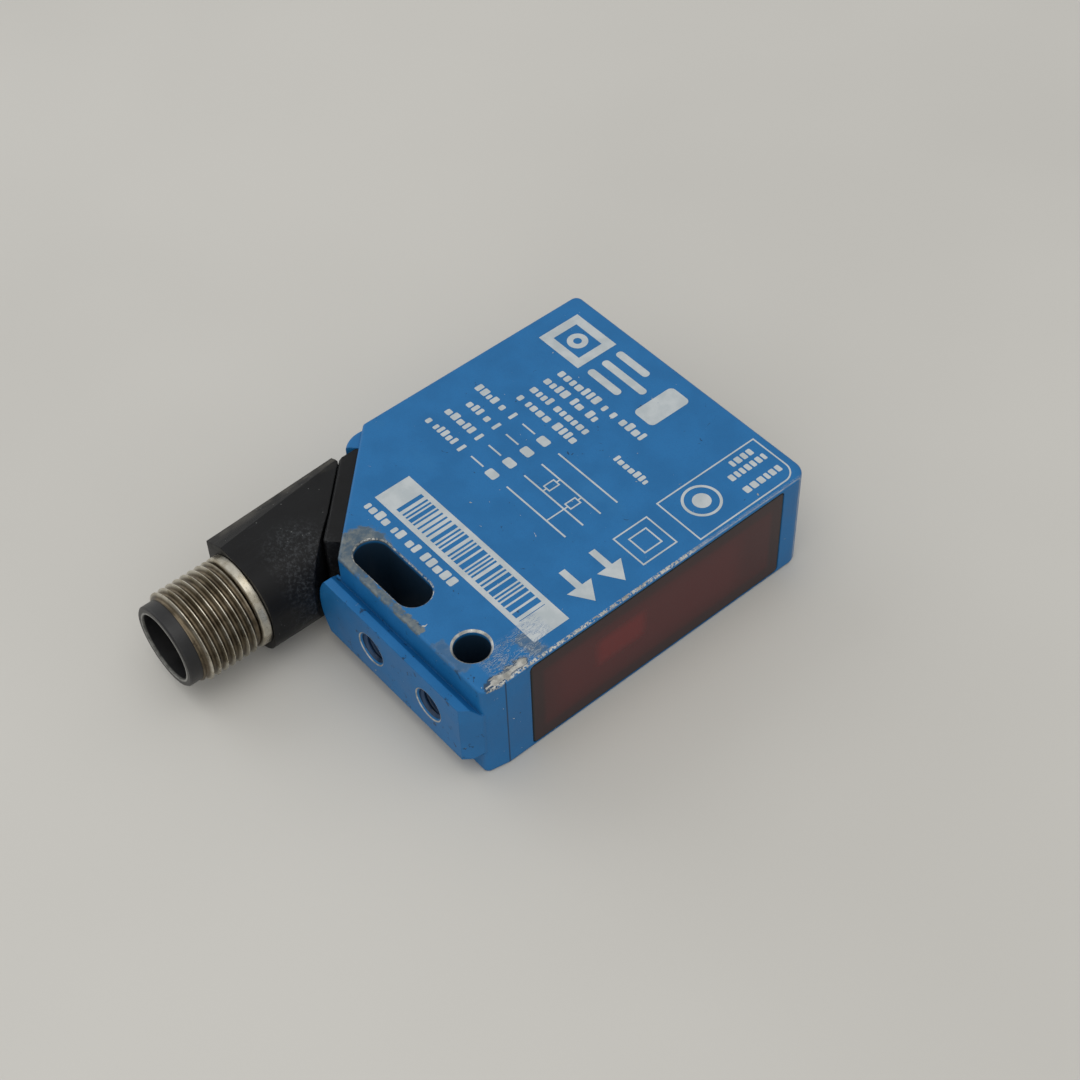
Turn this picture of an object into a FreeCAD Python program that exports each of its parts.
import FreeCAD, Part
import math
import os

# Compact photoelectric proximity sensor: a flat die-cast housing that looks out
# through one long edge, and a plug that swivels on the cut-off back corner.
# Millimetres.  +X points to the light window, +Y to the adjuster end, -Y to the
# plug, +Z out of the marked side.  The origin is on the axis of the round
# mounting hole, in the plane of the underside.

# ---- housing ----
WIDTH = 41.5
LENGTH = 49.5
THICK = 15.0
HOLE_TO_FRONT = 6.3
HOLE_TO_END = 3.4
CORNER_CUT = 15.1
FRONT_X = HOLE_TO_FRONT
BACK_X = FRONT_X - WIDTH
END_Y = -HOLE_TO_END
TOP_Y = END_Y + LENGTH
MID_Z = THICK / 2
EDGE_ROUND = 0.35
BACK_CORNER_ROUND = 1.0
FRONT_CORNER_ROUND = 2.2
CUT_CORNER_ROUND = 0.6
CREASE_ROUND = 0.8
CREASE_INSET = 0.6
CREASE_Y = END_Y + 2.95
WALL = 1.3
CORNER_WALL = 1.6
LEDGE_T = 1.0

# ---- lobe beside the swivel ----
LOBE_R = 3.6
LOBE_STEP = 0.9
LOBE_ROUND = 0.4
LOBE_X = BACK_X + 3.5
LOBE_Y = END_Y + CORNER_CUT - 0.9

# ---- mounting holes ----
HOLE_R = 2.15
HOLE_CHAMFER = 0.25
SLOT_CENTRE_X = -14.2
SLOT_LENGTH = 12.0
SLOT_R = 2.25
TAPPED_R = 2.0
TAPPED_DEPTH = 2.8
TAPPED_CHAMFER = 0.25
TAPPED_X = (-12.1, -1.6)

# ---- dovetail rail on the plug end ----
RAIL_OUT = 2.1
RAIL_Y = END_Y - RAIL_OUT
RAIL_HALF_OUTER = 4.5
RAIL_HALF_ROOT = 3.5
RAIL_LEFT_X = -21.85
RAIL_RIGHT_X = 4.05
RAIL_END_BULGE = 1.4
RAIL_LAND = 1.1
RAIL_ROOT_IN = 0.3

# ---- light window ----
WINDOW_Y = (3.0, 42.0)
WINDOW_MARGIN_Z = 0.35
WINDOW_T = 1.4
SEAL_T = 0.4
WINDOW_GAP = 0.06
WINDOW_CORNER = 0.7
WINDOW_CHAMFER = 0.12
SEAL_GAP = 0.1
APERTURE_CORNER = 0.8
CAVITY_Y = (4.2, 43.6)
CAVITY_ROUND = 0.8
CAVITY_FRONT_ROUND = 0.3
MOUTH_IN = 3.0
APERTURE_Y = (4.2, 40.9)

# ---- adjuster panel in the top end ----
PANEL_X = (-27.0, -3.0)
PANEL_HALF_Z = 4.5
PANEL_T = 1.3
PANEL_SINK = 0.2
PANEL_LEDGE = 1.0
PANEL_CORNER = 1.6
PANEL_GAP = 0.05
PANEL_Y = TOP_Y - PANEL_SINK
PANEL_BACK_Y = PANEL_Y - PANEL_T
WELL_WALL = 0.9
WELL_DEPTH = 1.2
WELL_CHAMFER = 0.5
SCREW_X = -8.5
SCREW_HEAD_R = 2.3
SCREW_HEAD_LENGTH = 3.0
SCREW_HEAD_Y = PANEL_Y - 0.3
SCREW_SHAFT_R = 0.9
SCREW_SLOT_WIDTH = 0.7
SCREW_SLOT_DEPTH = 0.9
SCREW_GROOVE = (1.5, 2.4)
SCREW_GROOVE_DEPTH = 0.7
SCREW_RING_R = 0.33
GUIDE_X = -20.0
GUIDE_R = 1.6
GUIDE_COLLAR = 0.5
GUIDE_BULGE = 0.45
GUIDE_PROUD = 0.15
GUIDE_GAP = 0.1

# ---- running clearances ----
FIT = 0.05

# ---- swivel plug: local frame on the cut corner ----
# u runs along the cut towards the rail, v runs into the housing, z is up.
SWIVEL_X = BACK_X + CORNER_CUT / 2
SWIVEL_Y = END_Y + CORNER_CUT / 2
FLANGE_HALF_U = 7.4
FLANGE_HALF_Z = 6.5
FLANGE_T = 2.3
FLANGE_CHAMFER = 0.3
FLANGE_BACK_CUT = 1.8
NECK_R = 5.6
NECK_IN = 0.5
ELBOW_OUT = 2.4
RELIEF_START_U = 3.0
RELIEF_OUT = 0.4
SPIGOT_R = 4.9
SPIGOT_IN = 4.9
BOSS_R = 6.6
BOSS_IN = 3.6
LEAD_BORE_R = 1.9
RING_R = 0.5
RING_V = 1.8
RING_ROOM = 0.6
CLIP_T = 0.5
CLIP_R = 5.9
CLIP_V = BOSS_IN + 0.1
CLIP_ROOM = 0.4
CLIP_IN = 0.7
CLIP_OPENING_Z = 3.2

# ---- M12 plug ----
AXIS_CROSSING = 0.7
PLUG_X = SWIVEL_X - AXIS_CROSSING / math.sqrt(2)
CROSS_Y = SWIVEL_Y - AXIS_CROSSING / math.sqrt(2)
ELBOW_HALF = 6.3
ELBOW_HALF_Z = 6.4
ELBOW_ROUND = 5.0
ELBOW_EDGE = 0.3
ELBOW_END_Y = -12.15
FACET_LENGTH = 26.0
ELBOW_BACK_Y = 6.2
FACET_X = 3.3
FACET_Z = 1.6
COLLAR_LENGTH = 1.3
THREAD_R = 6.0
THREAD_LENGTH = 8.0
THREAD_EASE = 0.15
THREAD_LEAD_IN = 0.5
SHANK_R = 5.6
SHANK_IN = 2.6
CARRIER_R = 5.2
NOSE_R = 5.35
NOSE_LENGTH = 1.7
NOSE_CHAMFER = 0.2
CUP_R = 4.4
CUP_DEPTH = 8.5
KEY_HALF = 0.55
KEY_HEIGHT = 0.75
KEY_BACK = 1.2
KEY_ROOT = 0.2
PIN_R = 0.5
PIN_TIP_R = 0.2
PIN_TIP_LENGTH = 0.6
PIN_CIRCLE_R = 2.5
PIN_SHORT = 3.2
SOLDER_CUP_R = 0.75
SOLDER_CUP_LENGTH = 1.5
THREAD_START_Y = ELBOW_END_Y - COLLAR_LENGTH
THREAD_END_Y = THREAD_START_Y - THREAD_LENGTH
NOSE_Y = THREAD_END_Y - NOSE_LENGTH
CARRIER_BACK_Y = ELBOW_END_Y + SHANK_IN

# ---- leads ----
LEAD_R = 0.5
LEAD_STEP = 0.75
LEAD_BEND = 3.0
LEAD_SPLIT_V = 6.0
LEAD_SPLIT_GAP = 0.1
LEAD_SPREAD = 7.0
LEAD_STRAIGHT = 2.6
LEAD_FLARE = (7.5, 11.0)
LEAD_ROOM_R = 4.2
TAN_HALF_TURN = math.tan(math.radians(22.5))

# ---- optics and board ----
OPTICS_X = (-11.0, 4.3)
OPTICS_Y = (5.2, 40.2)
OPTICS_Z = (1.6, 13.4)
SENDER_Y = 12.5
RECEIVER_Y = 30.5
LENS_R = 5.4
LENS_T = 1.2
LENS_RIM = 0.6
LENS_DOME = 1.6
LENS_FIT = 0.02
CHANNEL_LENGTH = 10.0
CHANNEL_END_R = 2.4
CHANNEL_ROOM = 0.1
LED_R = 1.5
LED_LENGTH = 3.6
BAFFLE_HALF = 1.0
CARRIAGE_X = (-10.6, -6.4)
CARRIAGE_HALF_Y = 2.5
CARRIAGE_HALF_Z = 3.0
CARRIAGE_TRAVEL = 1.2
SPINDLE_PAST = 6.4
DIODE_HALF_Y = 1.6
DIODE_HALF_Z = 1.3
DIODE_T = 0.7
DIODE_ROOM = 0.5
SPINDLE_ROOM = 0.2
BOARD_X = (-33.2, -12.6)
BOARD_Y = (15.0, 42.8)
BOARD_Z = (3.2, 4.2)
BOARD_TOP = BOARD_Z[1]
BOARD_CORNER = 0.6
BOARD_CUT = 2.0

# ---- pieces on the board ----
CHIP_X = (-27.0, -21.0)
CHIP_Y = (26.0, 32.0)
CHIP_T = 1.3
CHIP_LIFT = 0.1
LEG_COUNT = 6
LEG_PITCH = 0.96
LEG_HALF = 0.2
LEG_OUT = 1.0
LEG_T = 0.5
DRIVER_X = (-31.4, -28.9)
DRIVER_Y = (22.2, 34.6)
DRIVER_LENGTH = 3.0
DRIVER_T = 1.5
RESISTOR_X = (-16.6, -14.6)
RESISTOR_COUNT = 6
RESISTOR_START_Y = 21.5
RESISTOR_PITCH = 2.6
RESISTOR_WIDTH = 1.2
RESISTOR_T = 0.7
CAPACITOR_R = 1.9
CAPACITOR_HEIGHT = 4.6
CAPACITOR_X = -30.6
CAPACITOR_Y = 39.8
INDICATOR_Y = (CAVITY_Y[1] - 2.0, CAVITY_Y[1] - 0.9)
INDICATOR_HALF = 1.5
INDICATOR_DOT_R = 1.1
SOCKET_Y = (16.4, 20.4)
SOCKET_HALF = 2.1
SOCKET_TOP = MID_Z + 1.9
SOCKET_BACK_V = 3.2

# ---- cutting tools reach well past the part ----
PAST = 1.0
FAR = 60.0


def vec(x, y, z):
    return FreeCAD.Vector(x, y, z)


def box(x_range, y_range, z_range):
    size = [high - low for low, high in (x_range, y_range, z_range)]
    return Part.makeBox(*size, vec(x_range[0], y_range[0], z_range[0]))


def cylinder_y(x, z, radius, y_start, y_end):
    """Round bar along Y between two stations."""
    low = min(y_start, y_end)
    return Part.makeCylinder(radius, abs(y_end - y_start), vec(x, low, z), vec(0, 1, 0))


def cone_y(x, z, r_start, r_end, y_start, y_end):
    """Tapered bar along Y; the radii belong to the two stations in order."""
    direction = 1 if y_end > y_start else -1
    return Part.makeCone(r_start, r_end, abs(y_end - y_start), vec(x, y_start, z), vec(0, direction, 0))


def cylinder_x(y, z, radius, x_start, x_end):
    """Round bar along X between two stations."""
    return Part.makeCylinder(radius, x_end - x_start, vec(x_start, y, z), vec(1, 0, 0))


def rounded_wire(corners):
    """Closed outline in a Z plane from (x, y, corner radius) entries."""
    edges = []
    points = [vec(x, y, 0) for x, y, _ in corners]
    starts = []
    ends = []
    for i, (_, _, radius) in enumerate(corners):
        here = points[i]
        to_last = (points[i - 1] - here).normalize()
        to_next = (points[(i + 1) % len(points)] - here).normalize()
        half = to_last.getAngle(to_next) / 2
        reach = radius / math.tan(half)
        middle = here + (to_last + to_next).normalize() * (radius / math.sin(half) - radius)
        start = here + to_last * reach
        end = here + to_next * reach
        starts.append(start)
        ends.append(end)
        if radius > 0:
            edges.append(Part.Arc(start, middle, end).toShape())
    for i, end in enumerate(ends):
        edges.append(Part.LineSegment(end, starts[(i + 1) % len(starts)]).toShape())
    return Part.Wire(Part.__sortEdges__(edges))


def prism(corners, z_low, z_high):
    """Upright block with the outline given by rounded corners."""
    face = Part.Face(rounded_wire(corners))
    face.translate(vec(0, 0, z_low))
    return face.extrude(vec(0, 0, z_high - z_low))


def panel_prism(x_range, z_range, corner, y_low, y_high):
    """Rounded rectangle in the XZ plane, thick along Y."""
    corners = [(x_range[0], -z_range[0], corner), (x_range[1], -z_range[0], corner)]
    corners += [(x_range[1], -z_range[1], corner), (x_range[0], -z_range[1], corner)]
    block = prism(corners, y_low, y_high)
    block.rotate(vec(0, 0, 0), vec(1, 0, 0), -90)
    return block


def window_prism(y_range, z_range, corner, x_low, x_high):
    """Rounded rectangle in the YZ plane, thick along X."""
    corners = [(y_range[0], z_range[0], corner), (y_range[1], z_range[0], corner)]
    corners += [(y_range[1], z_range[1], corner), (y_range[0], z_range[1], corner)]
    block = prism(corners, x_low, x_high)
    block.rotate(vec(0, 0, 0), vec(1, 1, 1), 120)
    return block


def on_corner(shape):
    """Carries a shape from the swivel's local frame onto the cut corner."""
    shape.rotate(vec(0, 0, 0), vec(0, 0, 1), -45)
    shape.translate(vec(SWIVEL_X, SWIVEL_Y, 0))
    return shape


def swivel_bar(radius, v_start, v_end):
    """Round bar about the swivel axis."""
    return on_corner(Part.makeCylinder(radius, v_end - v_start, vec(0, v_start, MID_Z), vec(0, 1, 0)))


def swivel_box(u_range, v_range, z_range):
    return on_corner(box(u_range, v_range, z_range))


def swivel_ring(ring_radius, v):
    """Seal ring about the swivel axis."""
    return on_corner(Part.makeTorus(ring_radius, RING_R, vec(0, v, MID_Z), vec(0, 1, 0)))


def beyond_plane(a, b, c, inside):
    """Large block on the far side of the plane through three points."""
    normal = (b - a).cross(c - a).normalize()
    if normal.dot(inside - a) > 0:
        normal = normal * -1
    size = 40
    block = Part.makeBox(2 * size, 2 * size, size, vec(-size, -size, 0))
    block.Placement = FreeCAD.Placement(a, FreeCAD.Rotation(vec(0, 0, 1), normal))
    return block


def save(node, shape):
    solids = shape.Solids
    body = solids[0] if len(solids) == 1 else Part.makeCompound(solids)
    body.exportStep("parts/" + node + ".step")
    print(node, len(solids), "solids", round(body.Volume, 2), "mm3", "valid" if body.isValid() else "INVALID")


# ---------------------------------------------------------------- housing
def outer_block():
    """Flat block with its cut corner, and the crease beside the window."""
    corners = [
        (BACK_X, TOP_Y, BACK_CORNER_ROUND),
        (BACK_X, END_Y + CORNER_CUT, CUT_CORNER_ROUND),
        (BACK_X + CORNER_CUT, END_Y, CUT_CORNER_ROUND),
        (FRONT_X - CREASE_INSET, END_Y, CREASE_ROUND),
        (FRONT_X, CREASE_Y, 0),
        (FRONT_X, TOP_Y, FRONT_CORNER_ROUND),
    ]
    block = prism(corners, 0, THICK)
    rims = [edge for edge in block.Edges if is_rim(edge)]
    return block.makeFillet(EDGE_ROUND, rims)


def is_rim(edge):
    """True for an edge that lies in the top or the bottom face."""
    low = edge.BoundBox.ZMin
    high = edge.BoundBox.ZMax
    flat = high - low < 0.001
    return flat and (low < 0.001 or low > THICK - 0.001)


def hinge_lobe():
    """Rounded casting lobe beside the swivel, a step below both faces."""
    lobe = Part.makeCylinder(LOBE_R, THICK - 2 * LOBE_STEP, vec(LOBE_X, LOBE_Y, LOBE_STEP))
    rims = [edge for edge in lobe.Edges if edge.Length > 6 * LOBE_R]
    lobe = lobe.makeFillet(LOBE_ROUND, rims)
    clear_of_flange = swivel_box((-FLANGE_HALF_U - FIT, FAR), (-FAR, 0), (-PAST, THICK + PAST))
    return lobe.cut(clear_of_flange)


def dovetail_rail():
    """Rail that widens outwards, with a softly bulged left end and a slanted right end."""
    half = RAIL_HALF_OUTER
    corner_x = RAIL_LEFT_X + RAIL_END_BULGE
    low = vec(corner_x, 0, MID_Z - half)
    high = vec(corner_x, 0, MID_Z + half)
    nose = Part.Arc(low, vec(RAIL_LEFT_X, 0, MID_Z), high).toShape()
    right_x = FRONT_X - CREASE_INSET
    right_high = vec(right_x, 0, MID_Z + half)
    right_low = vec(right_x, 0, MID_Z - half)
    sides = [nose, Part.makeLine(high, right_high), Part.makeLine(right_high, right_low)]
    sides.append(Part.makeLine(right_low, low))
    plan = Part.Face(Part.Wire(sides))
    plan.translate(vec(0, RAIL_Y, 0))
    block = plan.extrude(vec(0, RAIL_OUT + RAIL_ROOT_IN, 0))
    root = RAIL_HALF_ROOT
    inner_y = END_Y + RAIL_ROOT_IN
    profile = [
        vec(-FAR, inner_y, MID_Z - root),
        vec(-FAR, END_Y, MID_Z - root),
        vec(-FAR, RAIL_Y + RAIL_LAND, MID_Z - half),
        vec(-FAR, RAIL_Y, MID_Z - half),
        vec(-FAR, RAIL_Y, MID_Z + half),
        vec(-FAR, RAIL_Y + RAIL_LAND, MID_Z + half),
        vec(-FAR, END_Y, MID_Z + root),
        vec(-FAR, inner_y, MID_Z + root),
    ]
    section = Part.Face(Part.makePolygon(profile + profile[:1]))
    block = block.common(section.extrude(vec(2 * FAR, 0, 0)))
    slant_start = vec(RAIL_RIGHT_X, RAIL_Y, 0)
    slant_end = vec(right_x, END_Y, 0)
    heart = vec(SLOT_CENTRE_X, END_Y, MID_Z)
    return block.cut(beyond_plane(slant_start, slant_end, slant_start + vec(0, 0, THICK), heart))


def slot_bar(grow, z_low, z_high):
    """Upright bar with the slot's outline, grown by a margin."""
    half = SLOT_LENGTH / 2
    reach = half + grow
    radius = SLOT_R + grow
    corners = []
    for side_x, side_y in ((-1, -1), (1, -1), (1, 1), (-1, 1)):
        corners.append((SLOT_CENTRE_X + side_x * reach, side_y * radius, radius - 0.0001))
    return prism(corners, z_low, z_high)


def mounting_slot():
    """Long hole, eased on the marked side."""
    ease = HOLE_CHAMFER / 2
    return slot_bar(0, -PAST, THICK + PAST).fuse(slot_bar(ease, THICK - ease, THICK + PAST))


def mounting_hole():
    hole = Part.makeCylinder(HOLE_R, THICK + 2 * PAST, vec(0, 0, -PAST))
    top = Part.makeCone(HOLE_R, HOLE_R + HOLE_CHAMFER, HOLE_CHAMFER, vec(0, 0, THICK - HOLE_CHAMFER))
    return hole.fuse(top)


def tapped_holes():
    """Two blind M4 holes in the rail's end face."""
    tools = []
    for x in TAPPED_X:
        tools.append(cylinder_y(x, MID_Z, TAPPED_R, RAIL_Y - PAST, RAIL_Y + TAPPED_DEPTH))
        wide = TAPPED_R + TAPPED_CHAMFER
        tools.append(cone_y(x, MID_Z, wide, TAPPED_R, RAIL_Y, RAIL_Y + TAPPED_CHAMFER))
    return tools


def cavity():
    """Room inside for the optics and the board, opened by the window."""
    back = BACK_X + WALL
    front = FRONT_X - WINDOW_T - SEAL_T - LEDGE_T
    cut_line = SWIVEL_X + SWIVEL_Y + CORNER_WALL * math.sqrt(2)
    corners = [
        (back, CAVITY_Y[1], CAVITY_ROUND),
        (back, cut_line - back, CAVITY_ROUND),
        (cut_line - CAVITY_Y[0], CAVITY_Y[0], CAVITY_ROUND),
        (front, CAVITY_Y[0], CAVITY_FRONT_ROUND),
        (front, CAVITY_Y[1], CAVITY_FRONT_ROUND),
    ]
    room = prism(corners, WALL, THICK - WALL).cut(swivel_bar(BOSS_R, -PAST, BOSS_IN))
    mouth_z = (WALL, THICK - WALL)
    mouth = window_prism(APERTURE_Y, mouth_z, APERTURE_CORNER, front - MOUTH_IN, FRONT_X + PAST)
    clip_room = swivel_bar(CLIP_R + CLIP_ROOM, BOSS_IN, SPIGOT_IN + CLIP_ROOM)
    return room.fuse([mouth, clip_room])


def window_seat():
    z_range = (WINDOW_MARGIN_Z, THICK - WINDOW_MARGIN_Z)
    return window_prism(WINDOW_Y, z_range, WINDOW_CORNER, FRONT_X - WINDOW_T - SEAL_T, FRONT_X + PAST)


def panel_seat():
    """Stepped opening for the adjuster panel."""
    z_range = (MID_Z - PANEL_HALF_Z, MID_Z + PANEL_HALF_Z)
    seat = panel_prism(PANEL_X, z_range, PANEL_CORNER, PANEL_BACK_Y, TOP_Y + PAST)
    through_x = (PANEL_X[0] + PANEL_LEDGE, PANEL_X[1] - PANEL_LEDGE)
    through_z = (z_range[0] + PANEL_LEDGE, z_range[1] - PANEL_LEDGE)
    return seat.fuse(panel_prism(through_x, through_z, PANEL_CORNER / 2, CAVITY_Y[1] - PAST, TOP_Y))


def make_housing():
    block = outer_block().fuse([hinge_lobe(), dovetail_rail()])
    tools = [mounting_slot(), mounting_hole(), cavity(), window_seat(), panel_seat()]
    tools.append(swivel_bar(SPIGOT_R + FIT, -PAST, BOSS_IN + PAST))
    tools += tapped_holes()
    for tool in tools:
        block = block.cut(tool)
    return block.removeSplitter()


# ---------------------------------------------------------------- front and top closures
def make_front_window():
    """Tinted flat pane that fills the whole front."""
    y_range = (WINDOW_Y[0] + WINDOW_GAP, WINDOW_Y[1] - WINDOW_GAP)
    z_range = (WINDOW_MARGIN_Z + WINDOW_GAP, THICK - WINDOW_MARGIN_Z - WINDOW_GAP)
    pane = window_prism(y_range, z_range, WINDOW_CORNER - WINDOW_GAP, FRONT_X - WINDOW_T, FRONT_X)
    rims = [edge for edge in pane.Edges if edge.BoundBox.XMin > FRONT_X - 0.001]
    return pane.makeChamfer(WINDOW_CHAMFER, rims)


def make_window_seal():
    """Flat gasket frame between the pane and the housing's ledge."""
    back = FRONT_X - WINDOW_T - SEAL_T
    y_range = (WINDOW_Y[0] + SEAL_GAP, WINDOW_Y[1] - SEAL_GAP)
    z_range = (WINDOW_MARGIN_Z + SEAL_GAP, THICK - WINDOW_MARGIN_Z - SEAL_GAP)
    outer = window_prism(y_range, z_range, WINDOW_CORNER - SEAL_GAP, back, back + SEAL_T)
    inner_z = (WALL, THICK - WALL)
    return outer.cut(window_prism(APERTURE_Y, inner_z, APERTURE_CORNER, back - PAST, back + PAST))


def make_control_panel():
    """Black insert with a well for the adjuster and a hole for the light."""
    z_range = (MID_Z - PANEL_HALF_Z + PANEL_GAP, MID_Z + PANEL_HALF_Z - PANEL_GAP)
    x_range = (PANEL_X[0] + PANEL_GAP, PANEL_X[1] - PANEL_GAP)
    plate = panel_prism(x_range, z_range, PANEL_CORNER - PANEL_GAP, PANEL_BACK_Y, PANEL_Y)
    well_r = SCREW_HEAD_R + FIT
    well_end_y = PANEL_BACK_Y - WELL_DEPTH
    plate = plate.fuse(cylinder_y(SCREW_X, MID_Z, SCREW_HEAD_R + WELL_WALL, well_end_y, PANEL_BACK_Y))
    wide = well_r + WELL_CHAMFER
    plate = plate.cut(cone_y(SCREW_X, MID_Z, wide, well_r, PANEL_Y, PANEL_Y - WELL_CHAMFER))
    plate = plate.cut(cylinder_y(SCREW_X, MID_Z, well_r, well_end_y - PAST, PANEL_Y + PAST))
    return plate.cut(cylinder_y(GUIDE_X, MID_Z, GUIDE_R, PANEL_BACK_Y - PAST, PANEL_Y + PAST))


def make_indicator_light_guide():
    """Clear pin with a domed end, cut level just proud of the panel."""
    back_y = CAVITY_Y[1] + GUIDE_GAP
    bar = cylinder_y(GUIDE_X, MID_Z, GUIDE_R, back_y, PANEL_Y)
    dome_r = (GUIDE_R ** 2 + GUIDE_BULGE ** 2) / (2 * GUIDE_BULGE)
    dome = Part.makeSphere(dome_r, vec(GUIDE_X, PANEL_Y + GUIDE_BULGE - dome_r, MID_Z))
    dome = dome.common(cylinder_y(GUIDE_X, MID_Z, GUIDE_R, PANEL_Y - GUIDE_BULGE, PANEL_Y + PAST))
    collar = cylinder_y(GUIDE_X, MID_Z, GUIDE_R + GUIDE_COLLAR, back_y, PANEL_BACK_Y)
    beyond_tip = box((-FAR, FAR), (PANEL_Y + GUIDE_PROUD, FAR), (0, THICK))
    return bar.fuse([dome, collar]).cut(beyond_tip)


def make_range_screw():
    """Slotted spindle: head in the panel, long shaft through the carriage."""
    neck_y = SCREW_HEAD_Y - SCREW_HEAD_LENGTH
    near, far = SCREW_GROOVE
    groove_r = SCREW_HEAD_R - SCREW_GROOVE_DEPTH
    half_slot = SCREW_SLOT_WIDTH / 2
    slot_x = (SCREW_X - SCREW_HEAD_R - PAST, SCREW_X + SCREW_HEAD_R + PAST)
    slot_z = (MID_Z - half_slot, MID_Z + half_slot)
    head = cylinder_y(SCREW_X, MID_Z, SCREW_HEAD_R, neck_y, SCREW_HEAD_Y)
    groove = cylinder_y(SCREW_X, MID_Z, SCREW_HEAD_R + PAST, SCREW_HEAD_Y - far, SCREW_HEAD_Y - near)
    groove = groove.cut(cylinder_y(SCREW_X, MID_Z, groove_r, neck_y, SCREW_HEAD_Y))
    slot = box(slot_x, (SCREW_HEAD_Y - SCREW_SLOT_DEPTH, SCREW_HEAD_Y + PAST), slot_z)
    shaft = cylinder_y(SCREW_X, MID_Z, SCREW_SHAFT_R, RECEIVER_Y - SPINDLE_PAST, neck_y)
    return head.cut(groove).cut(slot).fuse(shaft)


def make_range_screw_seal():
    """Ring in the groove of the spindle's head."""
    y = SCREW_HEAD_Y - sum(SCREW_GROOVE) / 2
    return Part.makeTorus(SCREW_HEAD_R - SCREW_RING_R, SCREW_RING_R, vec(SCREW_X, y, MID_Z), vec(0, 1, 0))


# ---------------------------------------------------------------- optics
def lens(y, z, dome_height):
    """Plano-convex lens, flat side to the window."""
    front = OPTICS_X[1]
    disc = cylinder_x(y, z, LENS_R, front - LENS_T, front)
    base_r = LENS_R - LENS_RIM
    dome_r = (base_r ** 2 + dome_height ** 2) / (2 * dome_height)
    flat_x = front - LENS_T
    ball = Part.makeSphere(dome_r, vec(flat_x - dome_height + dome_r, y, z))
    cap = ball.common(cylinder_x(y, z, base_r, flat_x - dome_height - PAST, flat_x))
    return disc.fuse(cap)


def make_optics_frame():
    """Moulded black carrier with a light channel behind each lens."""
    block = box(OPTICS_X, OPTICS_Y, OPTICS_Z)
    back, front = OPTICS_X
    seat_x = front - LENS_T
    for y in (SENDER_Y, RECEIVER_Y):
        block = block.cut(cylinder_x(y, MID_Z, LENS_R + LENS_FIT, seat_x, front + PAST))
        throat = LENS_R - LENS_RIM + CHANNEL_ROOM
        channel = Part.makeCone(throat, CHANNEL_END_R, CHANNEL_LENGTH, vec(seat_x, y, MID_Z), vec(-1, 0, 0))
        block = block.cut(channel)
    block = block.cut(cylinder_x(SENDER_Y, MID_Z, LED_R + FIT, back - PAST, seat_x))
    travel = CARRIAGE_HALF_Y + CARRIAGE_TRAVEL
    y_range = (RECEIVER_Y - travel, RECEIVER_Y + travel)
    z_range = (MID_Z - CARRIAGE_HALF_Z - FIT, MID_Z + CARRIAGE_HALF_Z + FIT)
    block = block.cut(box((back - PAST, CARRIAGE_X[1] + DIODE_T + DIODE_ROOM), y_range, z_range))
    spindle_end = RECEIVER_Y - SPINDLE_PAST - SPINDLE_ROOM
    spindle = cylinder_y(SCREW_X, MID_Z, SCREW_SHAFT_R + FIT, spindle_end, OPTICS_Y[1] + PAST)
    return block.cut(spindle).removeSplitter()


def make_light_baffle():
    """Soft strip that keeps sender light out of the receiver half."""
    middle = (SENDER_Y + RECEIVER_Y) / 2
    y_range = (middle - BAFFLE_HALF, middle + BAFFLE_HALF)
    return box((OPTICS_X[1], FRONT_X - WINDOW_T), y_range, OPTICS_Z)


def make_sender_led():
    """Round lamp with a domed end, held in the sender channel."""
    dome_x = OPTICS_X[0] + LED_LENGTH
    base = cylinder_x(SENDER_Y, MID_Z, LED_R, OPTICS_X[0], dome_x)
    return base.fuse(Part.makeSphere(LED_R, vec(dome_x, SENDER_Y, MID_Z)))


def make_receiver_carriage():
    """Nut block that the spindle moves across the focused light spot."""
    y_range = (RECEIVER_Y - CARRIAGE_HALF_Y, RECEIVER_Y + CARRIAGE_HALF_Y)
    z_range = (MID_Z - CARRIAGE_HALF_Z, MID_Z + CARRIAGE_HALF_Z)
    block = box(CARRIAGE_X, y_range, z_range)
    bore_r = SCREW_SHAFT_R + FIT
    return block.cut(cylinder_y(SCREW_X, MID_Z, bore_r, y_range[0] - PAST, y_range[1] + PAST))


def make_receiver_diode():
    """Two-field light receiver on the front of the carriage."""
    x = CARRIAGE_X[1]
    y_range = (RECEIVER_Y - DIODE_HALF_Y, RECEIVER_Y + DIODE_HALF_Y)
    z_range = (MID_Z - DIODE_HALF_Z, MID_Z + DIODE_HALF_Z)
    return box((x, x + DIODE_T), y_range, z_range)


# ---------------------------------------------------------------- board
def make_main_board():
    """Circuit board behind the optics, clear of the swivel socket."""
    corners = [
        (BOARD_X[0], BOARD_Y[1], BOARD_CORNER),
        (BOARD_X[0], BOARD_Y[0] + BOARD_CUT, BOARD_CORNER),
        (BOARD_X[0] + BOARD_CUT, BOARD_Y[0], BOARD_CORNER),
        (BOARD_X[1], BOARD_Y[0], BOARD_CORNER),
        (BOARD_X[1], BOARD_Y[1], BOARD_CORNER),
    ]
    return prism(corners, BOARD_Z[0], BOARD_TOP)


def make_evaluation_chip():
    """Square logic chip with short legs on two sides."""
    shape = box(CHIP_X, CHIP_Y, (BOARD_TOP + CHIP_LIFT, BOARD_TOP + CHIP_LIFT + CHIP_T))
    first_y = (sum(CHIP_Y) - (LEG_COUNT - 1) * LEG_PITCH) / 2
    left = (CHIP_X[0] - LEG_OUT, CHIP_X[0] + CHIP_LIFT)
    right = (CHIP_X[1] - CHIP_LIFT, CHIP_X[1] + LEG_OUT)
    for i in range(LEG_COUNT):
        y = first_y + i * LEG_PITCH
        for x_range in (left, right):
            shape = shape.fuse(box(x_range, (y - LEG_HALF, y + LEG_HALF), (BOARD_TOP, BOARD_TOP + LEG_T)))
    return shape


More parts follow.
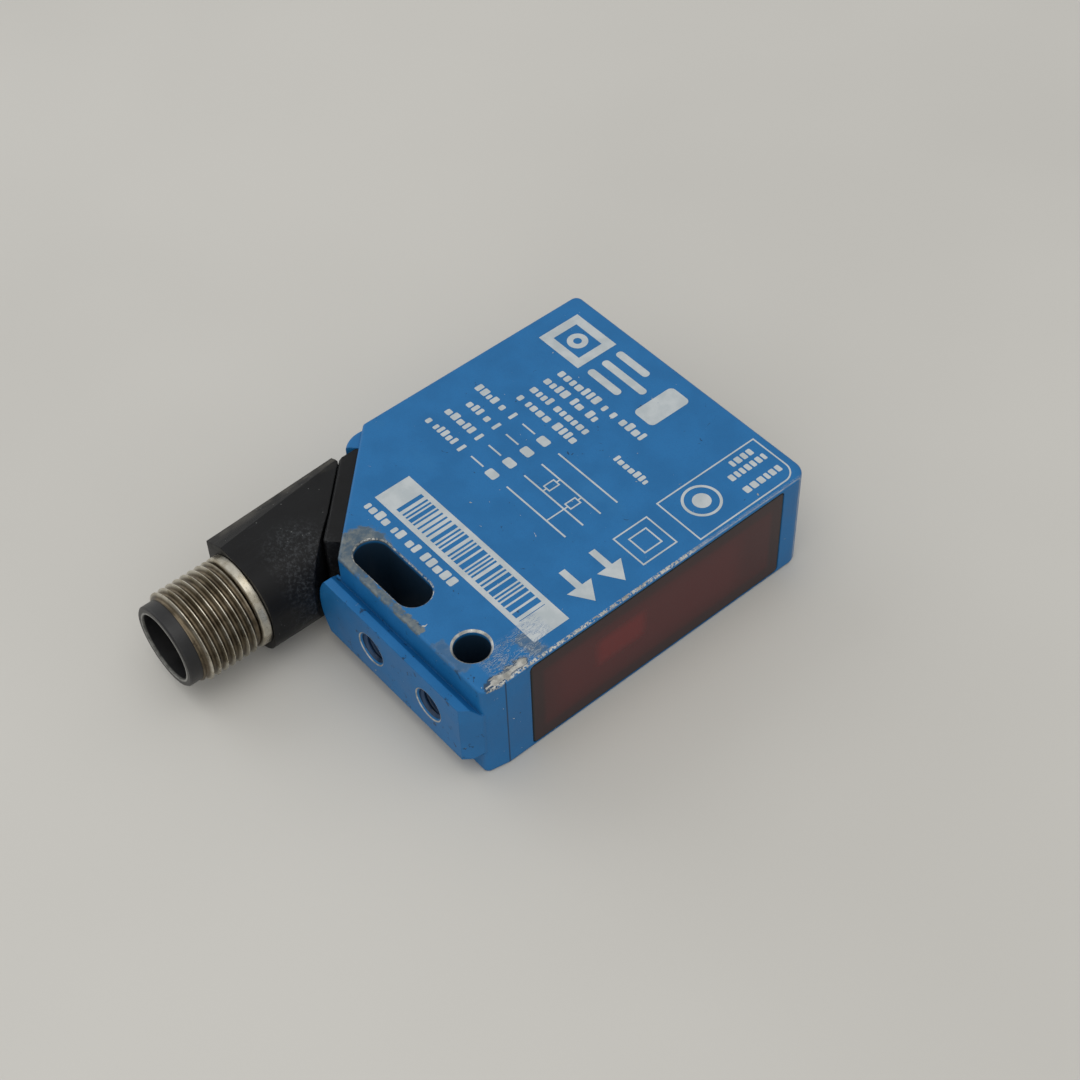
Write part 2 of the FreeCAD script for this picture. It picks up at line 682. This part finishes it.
def make_output_drivers():
    """One driver for each of the two complementary outputs."""
    parts = []
    for y in DRIVER_Y:
        parts.append(box(DRIVER_X, (y, y + DRIVER_LENGTH), (BOARD_TOP, BOARD_TOP + DRIVER_T)))
    return Part.makeCompound(parts)


def make_board_passives():
    """Resistors along the board's inner edge and one round capacitor."""
    parts = []
    for i in range(RESISTOR_COUNT):
        y = RESISTOR_START_Y + i * RESISTOR_PITCH
        parts.append(box(RESISTOR_X, (y, y + RESISTOR_WIDTH), (BOARD_TOP, BOARD_TOP + RESISTOR_T)))
    foot = vec(CAPACITOR_X, CAPACITOR_Y, BOARD_TOP)
    parts.append(Part.makeCylinder(CAPACITOR_R, CAPACITOR_HEIGHT, foot))
    return Part.makeCompound(parts)


def make_indicator_led():
    """Small lamp block under the light guide."""
    x_range = (GUIDE_X - INDICATOR_HALF, GUIDE_X + INDICATOR_HALF)
    body = box(x_range, INDICATOR_Y, (BOARD_TOP, MID_Z + INDICATOR_HALF))
    dot_end = CAVITY_Y[1] - GUIDE_GAP
    return body.fuse(cylinder_y(GUIDE_X, MID_Z, INDICATOR_DOT_R, INDICATOR_Y[1], dot_end))


def board_turn():
    """Point where the board leads turn from the swivel axis to +Y."""
    reach = (LEAD_SPLIT_V + SOCKET_BACK_V) / math.sqrt(2)
    return SWIVEL_X + reach, SWIVEL_Y + reach


def make_lead_socket():
    """Four-way socket that the leads plug into on the board."""
    x = board_turn()[0]
    return box((x - SOCKET_HALF, x + SOCKET_HALF), SOCKET_Y, (BOARD_TOP, SOCKET_TOP))


# ---------------------------------------------------------------- leads
def rounded_path(points, radius):
    """Open path of straight runs joined by tangent arcs."""
    edges = []
    last = points[0]
    for i in range(1, len(points) - 1):
        here = points[i]
        to_last = (points[i - 1] - here).normalize()
        to_next = (points[i + 1] - here).normalize()
        half = to_last.getAngle(to_next) / 2
        reach = radius / math.tan(half)
        start = here + to_last * reach
        end = here + to_next * reach
        middle = here + (to_last + to_next).normalize() * (radius / math.sin(half) - radius)
        edges.append(Part.LineSegment(last, start).toShape())
        edges.append(Part.Arc(start, middle, end).toShape())
        last = end
    edges.append(Part.LineSegment(last, points[-1]).toShape())
    return Part.Wire(edges)


def lead(points):
    """One insulated lead along a rounded path."""
    path = rounded_path(points, LEAD_BEND)
    direction = (points[1] - points[0]).normalize()
    ring = Part.Wire([Part.Circle(points[0], direction, LEAD_R).toShape()])
    return path.makePipeShell([ring], True, False)


def corner_point(u, v, z):
    """Point of the swivel's local frame, as a place on the sensor."""
    c = math.sqrt(0.5)
    return vec(SWIVEL_X + (u + v) * c, SWIVEL_Y + (v - u) * c, z)


def make_plug_leads():
    """Leads from the plug contacts back through the hollow swivel."""
    parts = []
    for side in (-1, 1):
        for level in (-1, 1):
            u = side * LEAD_STEP
            z = MID_Z + level * LEAD_STEP
            pin = pin_place(side, level)
            turn = vec(PLUG_X + u, CROSS_Y - u * TAN_HALF_TURN, z)
            spread = vec(PLUG_X + u, CROSS_Y - LEAD_SPREAD, z)
            cup = vec(pin[0], CARRIER_BACK_Y + LEAD_STRAIGHT, pin[1])
            end = vec(pin[0], CARRIER_BACK_Y + SOLDER_CUP_LENGTH, pin[1])
            start = corner_point(u, LEAD_SPLIT_V - LEAD_SPLIT_GAP, z)
            parts.append(lead([start, turn, spread, cup, end]))
    return Part.makeCompound(parts)


def make_board_leads():
    """Leads from the swivel to the socket on the board."""
    parts = []
    turn_x, turn_y = board_turn()
    for side in (-1, 1):
        for level in (-1, 1):
            u = side * LEAD_STEP
            z = MID_Z + level * LEAD_STEP
            turn = vec(turn_x + u, turn_y - u * TAN_HALF_TURN, z)
            end = vec(turn_x + u, SOCKET_Y[0], z)
            parts.append(lead([corner_point(u, LEAD_SPLIT_V + LEAD_SPLIT_GAP, z), turn, end]))
    return Part.makeCompound(parts)


# ---------------------------------------------------------------- swivel plug
def make_swivel_flange():
    """Square plate that holds the plug against the cut corner, bevelled at its back end."""
    half_z = FLANGE_HALF_Z
    plate = box((-FLANGE_HALF_U, FLANGE_HALF_U), (-FLANGE_T, 0), (MID_Z - half_z, MID_Z + half_z))
    rims = [edge for edge in plate.Edges if edge.BoundBox.YMax < -FLANGE_T + 0.001]
    plate = plate.makeChamfer(FLANGE_CHAMFER, rims)
    a = vec(FLANGE_BACK_CUT - FLANGE_HALF_U, -FLANGE_T, MID_Z)
    b = vec(-FLANGE_HALF_U, FLANGE_BACK_CUT - FLANGE_T, MID_Z)
    plate = plate.cut(beyond_plane(a, b, a + vec(0, 0, half_z), vec(0, 0, MID_Z)))
    return on_corner(plate).cut(swivel_bar(SPIGOT_R + FIT, -FLANGE_T - PAST, PAST))


def elbow_block():
    """Elbow body: square outside, rounded inside, faceted on its two outer edges."""
    left = PLUG_X - ELBOW_HALF
    right = PLUG_X + ELBOW_HALF
    low = MID_Z - ELBOW_HALF_Z
    high = MID_Z + ELBOW_HALF_Z
    corners = [(left, -low, ELBOW_EDGE), (right, -low, ELBOW_ROUND)]
    corners += [(right, -high, ELBOW_ROUND), (left, -high, ELBOW_EDGE)]
    block = prism(corners, ELBOW_END_Y, ELBOW_BACK_Y)
    block.rotate(vec(0, 0, 0), vec(1, 0, 0), -90)
    block = block.cut(swivel_box((-FAR, FAR), (-ELBOW_OUT, 2 * FAR), (-PAST, THICK + PAST)))
    heart = vec(PLUG_X, ELBOW_END_Y + ELBOW_HALF / 2, MID_Z)
    a = corner_point(RELIEF_START_U, -ELBOW_OUT, 0)
    b = corner_point(FLANGE_HALF_U, -ELBOW_OUT - RELIEF_OUT, 0)
    block = block.cut(beyond_plane(a, b, a + vec(0, 0, THICK), heart))
    for sign in (-1, 1):
        edge_z = MID_Z + sign * ELBOW_HALF_Z
        a = vec(left, ELBOW_END_Y + FACET_LENGTH, edge_z)
        b = vec(left, ELBOW_END_Y, edge_z - sign * FACET_Z)
        c = vec(left + FACET_X, ELBOW_END_Y, edge_z)
        block = block.cut(beyond_plane(a, b, c, heart))
    return block


def make_connector_elbow():
    """Elbow with its hollow spigot, ring grooves and plug socket."""
    shape = elbow_block()
    shape = shape.fuse(swivel_bar(NECK_R, -ELBOW_OUT - RELIEF_OUT - NECK_IN, -FLANGE_T - FIT))
    shape = shape.fuse(swivel_bar(SPIGOT_R, -ELBOW_OUT - NECK_IN, SPIGOT_IN))
    ring_groove = swivel_bar(SPIGOT_R + PAST, RING_V - RING_ROOM, RING_V + RING_ROOM)
    ring_groove = ring_groove.cut(swivel_bar(SPIGOT_R - 2 * RING_R, 0, SPIGOT_IN))
    clip_groove = swivel_bar(SPIGOT_R + PAST, CLIP_V, CLIP_V + CLIP_T)
    clip_groove = clip_groove.cut(swivel_bar(SPIGOT_R - CLIP_IN, 0, SPIGOT_IN + PAST))
    shape = shape.cut(ring_groove).cut(clip_groove)
    shape = shape.cut(swivel_bar(LEAD_BORE_R, -AXIS_CROSSING, SPIGOT_IN + PAST))
    shape = shape.cut(Part.makeSphere(LEAD_BORE_R, vec(PLUG_X, CROSS_Y, MID_Z)))
    flare_y = CROSS_Y - LEAD_FLARE[0]
    room_y = CROSS_Y - LEAD_FLARE[1]
    shape = shape.cut(cylinder_y(PLUG_X, MID_Z, LEAD_BORE_R, CROSS_Y, flare_y))
    shape = shape.cut(cone_y(PLUG_X, MID_Z, LEAD_BORE_R, LEAD_ROOM_R, flare_y, room_y))
    shape = shape.cut(cylinder_y(PLUG_X, MID_Z, LEAD_ROOM_R, room_y, CARRIER_BACK_Y - PAST / 2))
    shape = shape.cut(cylinder_y(PLUG_X, MID_Z, SHANK_R, ELBOW_END_Y - PAST, CARRIER_BACK_Y))
    return shape.removeSplitter()


def make_swivel_seal():
    """Ring that seals the spigot in its bore."""
    return swivel_ring(SPIGOT_R - RING_R, RING_V)


def make_swivel_clip():
    """Open spring ring that holds the spigot in the housing."""
    past_both = (CLIP_V - PAST, CLIP_V + CLIP_T + PAST)
    ring = swivel_bar(CLIP_R, CLIP_V, CLIP_V + CLIP_T).cut(swivel_bar(SPIGOT_R - CLIP_IN, *past_both))
    opening_z = (MID_Z + CLIP_OPENING_Z, THICK)
    return ring.cut(swivel_box((-CLIP_R, CLIP_R), past_both, opening_z))


def make_threaded_sleeve():
    """Nickel-plated M12 sleeve: shank in the elbow, then the threaded length at its full diameter."""
    points = [
        (CARRIER_R, CARRIER_BACK_Y),
        (SHANK_R, CARRIER_BACK_Y),
        (SHANK_R, ELBOW_END_Y),
        (THREAD_R - THREAD_EASE, ELBOW_END_Y),
        (THREAD_R, ELBOW_END_Y - THREAD_EASE),
        (THREAD_R, THREAD_END_Y + THREAD_LEAD_IN),
        (THREAD_R - THREAD_LEAD_IN, THREAD_END_Y),
        (CARRIER_R, THREAD_END_Y),
    ]
    loop = [vec(PLUG_X + radius, y, MID_Z) for radius, y in points]
    face = Part.Face(Part.makePolygon(loop + loop[:1]))
    return face.revolve(vec(PLUG_X, 0, MID_Z), vec(0, 1, 0), 360)


def pin_place(side, level):
    """Place of one contact on its circle."""
    reach = PIN_CIRCLE_R * math.sqrt(0.5)
    return PLUG_X + side * reach, MID_Z + level * reach


def make_contact_carrier():
    """Black insert with the open cup, its key rib and the contact seats."""
    shape = cylinder_y(PLUG_X, MID_Z, CARRIER_R, CARRIER_BACK_Y, THREAD_END_Y)
    chamfer_y = NOSE_Y + NOSE_CHAMFER
    floor_y = NOSE_Y + CUP_DEPTH
    shape = shape.fuse(cylinder_y(PLUG_X, MID_Z, NOSE_R, THREAD_END_Y, chamfer_y))
    shape = shape.fuse(cone_y(PLUG_X, MID_Z, NOSE_R, NOSE_R - NOSE_CHAMFER, chamfer_y, NOSE_Y))
    shape = shape.cut(cylinder_y(PLUG_X, MID_Z, CUP_R, NOSE_Y - PAST, floor_y))
    key_x = (PLUG_X - KEY_HALF, PLUG_X + KEY_HALF)
    key_z = (MID_Z + CUP_R - KEY_HEIGHT, MID_Z + CUP_R + KEY_ROOT)
    shape = shape.fuse(box(key_x, (NOSE_Y + KEY_BACK, floor_y + KEY_ROOT), key_z))
    for side in (-1, 1):
        for level in (-1, 1):
            x, z = pin_place(side, level)
            shape = shape.cut(cylinder_y(x, z, PIN_R, NOSE_Y, CARRIER_BACK_Y + PAST))
    return shape


def make_contact_pins():
    """Four round contacts with a nosed tip and a solder cup behind."""
    tip_y = NOSE_Y + PIN_SHORT
    straight_y = tip_y + PIN_TIP_LENGTH
    parts = []
    for side in (-1, 1):
        for level in (-1, 1):
            x, z = pin_place(side, level)
            pin = cylinder_y(x, z, PIN_R, straight_y, CARRIER_BACK_Y + PIN_TIP_LENGTH)
            nose = cone_y(x, z, PIN_R, PIN_TIP_R, straight_y, tip_y)
            cup = cylinder_y(x, z, SOLDER_CUP_R, CARRIER_BACK_Y, CARRIER_BACK_Y + SOLDER_CUP_LENGTH)
            parts.append(pin.fuse([nose, cup]))
    return Part.makeCompound(parts)


MAKERS = {
    "housing": make_housing,
    "front_window": make_front_window,
    "window_seal": make_window_seal,
    "control_panel": make_control_panel,
    "indicator_light_guide": make_indicator_light_guide,
    "range_screw": make_range_screw,
    "range_screw_seal": make_range_screw_seal,
    "optics_frame": make_optics_frame,
    "sender_lens": lambda: lens(SENDER_Y, MID_Z, LENS_DOME),
    "receiver_lens": lambda: lens(RECEIVER_Y, MID_Z, LENS_DOME),
    "light_baffle": make_light_baffle,
    "sender_led": make_sender_led,
    "receiver_carriage": make_receiver_carriage,
    "receiver_diode": make_receiver_diode,
    "main_board": make_main_board,
    "evaluation_chip": make_evaluation_chip,
    "output_drivers": make_output_drivers,
    "board_passives": make_board_passives,
    "indicator_led": make_indicator_led,
    "lead_socket": make_lead_socket,
    "board_leads": make_board_leads,
    "swivel_flange": make_swivel_flange,
    "connector_elbow": make_connector_elbow,
    "swivel_seal": make_swivel_seal,
    "swivel_clip": make_swivel_clip,
    "threaded_sleeve": make_threaded_sleeve,
    "contact_carrier": make_contact_carrier,
    "contact_pins": make_contact_pins,
    "plug_leads": make_plug_leads,
}

os.makedirs("parts", exist_ok=True)
for node, maker in MAKERS.items():
    save(node, maker())
